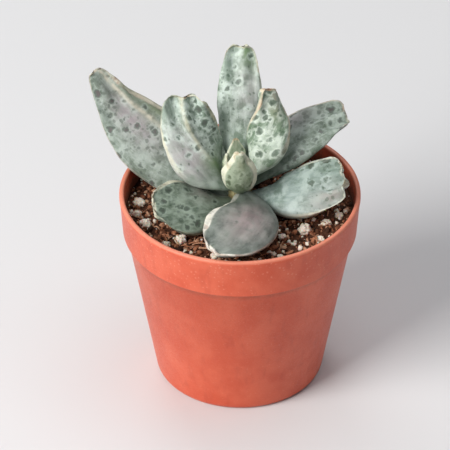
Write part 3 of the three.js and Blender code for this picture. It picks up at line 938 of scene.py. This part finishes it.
def makeCrumbs():
    rng = random.Random(soilShape["seeds"]["crumbs"])
    heap = Batches()
    least, more = soilShape["crumbRadius"]
    for k in range(soilShape["crumbs"]):
        radius = least + more * rng.random() ** 2.2
        x, y = freeSpot(rng, radius)
        shape = Matrix.Diagonal((*[rng.uniform(*limits) for limits in soilShape["crumbSquash"]], 1))
        place = onBed(x, y, rng.uniform(0, 0.45) * radius) @ randomTurn(rng) @ shape
        made = bmesh.ops.create_icosphere(heap.batch, subdivisions=1, radius=radius * mm, matrix=place)
        jolt(made["verts"], rng, soilShape["jolts"]["crumbs"], radius)
        heap.add(made["verts"], rng.random())
    for k in range(soilShape["chips"]):
        x, y = freeSpot(rng, 1.2)
        size = [rng.uniform(*limits) for limits in soilShape["chipSize"]]
        most = soilShape["chipTilt"]
        tilt = Matrix.Rotation(rng.uniform(-most, most), 4, "X")
        tilt = tilt @ Matrix.Rotation(rng.uniform(-most, most), 4, "Y")
        turn = Matrix.Rotation(rng.uniform(0, 6.3), 4, "Z")
        place = onBed(x, y, 0.3) @ turn @ tilt @ Matrix.Diagonal((*size, 1))
        made = bmesh.ops.create_cube(heap.batch, size=mm, matrix=place)
        jolt(made["verts"], rng, soilShape["jolts"]["chips"])
        heap.add(made["verts"], rng.uniform(0.7, 1.0))
    heap.flush()
    toPiece(heap.whole, "soil_crumbs", soilMaterial, "potting_soil", "soil")


def makeFibres():
    # thin bent roots and peat fibres lying on the bed
    rng = random.Random(soilShape["seeds"]["fibres"])
    heap = Batches()
    for k in range(soilShape["fibres"]):
        x, y = freeSpot(rng, 2.2)
        length = rng.uniform(*soilShape["fibreLength"])
        halfWidth = rng.uniform(*soilShape["fibreHalfWidth"])
        stretch = Matrix.Diagonal((length, 1, 1, 1))
        made = bmesh.ops.create_grid(heap.batch, x_segments=7, y_segments=1, size=0.5, matrix=stretch)
        turn = Matrix.Rotation(rng.uniform(0, 6.3), 3, "Z")
        bend, lift = rng.uniform(-0.5, 0.5), rng.uniform(0.1, 0.7)
        for v in made["verts"]:
            share = v.co.x / length * 2
            side = 1 if v.co.y > 0 else -1
            flat = turn @ Vector((v.co.x, bend * length * 0.3 * share * share + side * halfWidth, 0))
            rise = 0.35 + lift * (1 - share * share) + 0.1 * side
            v.co = Vector((x + flat.x, y + flat.y, bedHeightAt(x, y) + rise)) * mm
        heap.add(made["verts"], rng.uniform(0.75, 1.0))
    heap.flush()
    thickness = soilShape["fibreThickness"] * mm
    bmesh.ops.solidify(heap.whole, geom=heap.whole.faces[:], thickness=thickness)
    toPiece(heap.whole, "soil_fibres", soilMaterial, "potting_soil", "soil")


def seeded(counter, channel):
    # the same repeatable number from 0 to 1 that places the lumps in the solids
    return (4375.85 * math.sin(12.9898 * (counter + 1) + 78.233 * channel)) % 1


def perliteLumps():
    lumps = list(soilShape["standing"])
    nearest, furthest = soilShape["scatteredReach"]
    for k in range(soilShape["scattered"]):
        turn = 2.4 * k + 0.5 * seeded(k, 1)
        reach = nearest + (furthest - nearest) * math.sqrt(seeded(k, 2))
        x, y, radius = reach * math.cos(turn), reach * math.sin(turn), 0.6 + 0.6 * seeded(k, 3)
        if all(math.hypot(a - x, b - y) > c + radius + 0.3 for a, b, c in lumps):
            lumps.append((x, y, radius))
    return lumps


def makePerlite():
    rng = random.Random(soilShape["seeds"]["perlite"])
    heap = Batches()
    for k, (x, y, radius) in enumerate(perliteLumps()):
        centre = Vector((x, y, soilLevel + 0.25 * radius)) * mm
        shape = Matrix.Rotation(3 * x + y, 4, "Z") @ Matrix.Diagonal((1, 0.85, 0.75, 1))
        place = Matrix.Translation(centre) @ shape
        made = bmesh.ops.create_icosphere(heap.batch, subdivisions=4, radius=radius * mm, matrix=place)
        for v in made["verts"]:
            # popped grains: round bubbles with sharp creases between them
            way = (v.co - centre) / (radius * mm)
            bubbles = abs(noise.noise(way * 1.7 + Vector((9 * k, 0, 0)))) + 0.5 * abs(noise.noise(way * 3.9))
            v.co = centre + (v.co - centre) * (0.8 + 0.55 * bubbles)
        heap.add(made["verts"], 1.0)
    least, more = soilShape["gritRadius"]
    for k in range(soilShape["grit"]):
        radius = least + more * rng.random() ** 2
        x, y = freeSpot(rng, radius)
        place = onBed(x, y, 0.5 * radius + 0.1) @ randomTurn(rng)
        made = bmesh.ops.create_icosphere(heap.batch, subdivisions=1, radius=radius * mm, matrix=place)
        jolt(made["verts"], rng, soilShape["jolts"]["grit"], radius)
        heap.add(made["verts"], rng.random())
    heap.flush()
    toPiece(heap.whole, "soil_perlite", perliteMaterial, "potting_soil", "soil")


soilLook = {
    "dark": rgb(66, 42, 30), "peat": rgb(128, 80, 56), "brown": rgb(180, 120, 88), "tan": rgb(220, 176, 144),
    "white": rgb(244, 232, 216), "stain": rgb(206, 172, 142),
}


def makeSoilMaterial():
    material, tree, shader = newMaterial("soilPeat", Specular_IOR_Level=0.25)
    place = objectPlace(tree)
    grain = noiseOf(tree, place, 1.6, 5.0, 0.7)
    varied = plus(tree, attribute(tree, "grainTint"), times(tree, minus(tree, grain, 0.5), 0.5))
    colour = mixed(tree, ramp(tree, varied, 0.1, 0.55), soilLook["dark"], soilLook["peat"])
    colour = mixed(tree, ramp(tree, varied, 0.55, 0.85), colour, soilLook["brown"])
    colour = mixed(tree, ramp(tree, varied, 0.84, 1.02), colour, soilLook["tan"])
    tree.links.new(colour, shader["Base Color"])
    tree.links.new(ramp(tree, grain, 0.3, 0.7, 0.98, 0.78), shader["Roughness"])
    addBump(tree, shader, noiseOf(tree, place, 4.5, 5.0, 0.7), 0.8, 0.3)
    return material


def makePerliteMaterial():
    material, tree, shader = newMaterial(
        "perlite", Subsurface_Weight=0.2, Subsurface_Scale=0.6 * mm, Specular_IOR_Level=0.35
    )
    place = objectPlace(tree)
    # browner towards the bed
    low = ramp(tree, heightOf(tree, place), 43.5, 42.6)
    soiled = plus(tree, low, times(tree, noiseOf(tree, place, 0.9, 4.0), 0.9))
    colour = mixed(tree, ramp(tree, soiled, 0.5, 1.1), soilLook["white"], soilLook["stain"])
    tree.links.new(colour, shader["Base Color"])
    pits = noiseOf(tree, place, 3.2, 4.0, 0.7)
    tree.links.new(ramp(tree, pits, 0.3, 0.7, 0.92, 0.72), shader["Roughness"])
    addBump(tree, shader, pits, 0.6, 0.25)
    return material


soilMaterial = makeSoilMaterial()
perliteMaterial = makePerliteMaterial()
makeBed()
makeCrumbs()
makeFibres()
makePerlite()
print("soil made")

# Stem: short, ringed with old leaf scars and rounded off at the top

stemLook = {"bark": rgb(112, 98, 62), "pale": rgb(142, 136, 96), "crack": rgb(78, 62, 44)}


def makeStemMaterial():
    material, tree, shader = newMaterial("stemBark", Subsurface_Weight=0.05, Subsurface_Scale=0.8 * mm)
    place = objectPlace(tree)
    patches = noiseOf(tree, place, 0.7, 5.0, 0.6)
    colour = mixed(tree, ramp(tree, patches, 0.35, 0.65), stemLook["bark"], stemLook["pale"])
    cracks = fromGroup(tree, speckles, Place=place, Spacing=0.9, Amount=0.8, Raggedness=1.2)
    colour = mixed(tree, times(tree, cracks["Mask"], 0.7), colour, stemLook["crack"])
    tree.links.new(colour, shader["Base Color"])
    tree.links.new(ramp(tree, patches, 0.3, 0.7, 0.85, 0.62), shader["Roughness"])
    addBump(tree, shader, noiseOf(tree, place, 2.5, 5.0, 0.65), 0.7, 0.3)
    return material


def makeStem():
    foot, top, rim = stemShape["foot"], stemShape["top"], stemShape["rim"]
    radius, topRadius = stemShape["radius"], stemShape["topRadius"]
    lowest = -stemShape["soilBelowRim"]
    profile = [(0, foot), (0.45 * radius, foot), (0.8 * radius, foot + 6)]
    steps = stemShape["rings"]
    for k in range(steps + 1):
        height = lowest + (top - 1 - lowest) * k / steps
        fading = smooth(top - 1, top - 4, height)
        scar = stemShape["scars"] * math.sin(stemShape["scarTurns"] * height) * fading
        profile.append((stemRadiusAt(height) + scar, height))
    profile += [(0.85 * topRadius, top - 0.5), (0.5 * topRadius, top - 0.08), (0, top)]
    bm = bmesh.new()
    spinProfile(bm, [(reach, rim + height) for reach, height in profile], stemShape["sides"])
    bm.normal_update()
    for v in bm.verts:
        x, y, z = v.co / mm
        v.co += v.normal * (stemShape["knobs"] * ripple(0.8 * x, 0.8 * y, 0.6 * z, 70) * mm)
    toPiece(bm, "stem_bark", makeStemMaterial(), "stem_bark", "stem")


makeStem()
print("stem made")


def makeFloor():
    bm = bmesh.new()
    bmesh.ops.create_grid(bm, x_segments=1, y_segments=1, size=studio["floorSize"])
    floor = newObject("floor", toMesh(bm, "floor"))
    floor.data.materials.append(newMaterial("floorPaint", Roughness=0.8, Base_Color=studio["floor"])[0])
    floor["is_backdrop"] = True


makeFloor()

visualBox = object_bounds()
for label, box in (("cad", cadBox), ("visual", visualBox)):
    print(label, [round(b - a, 4) for a, b in zip(*box)])
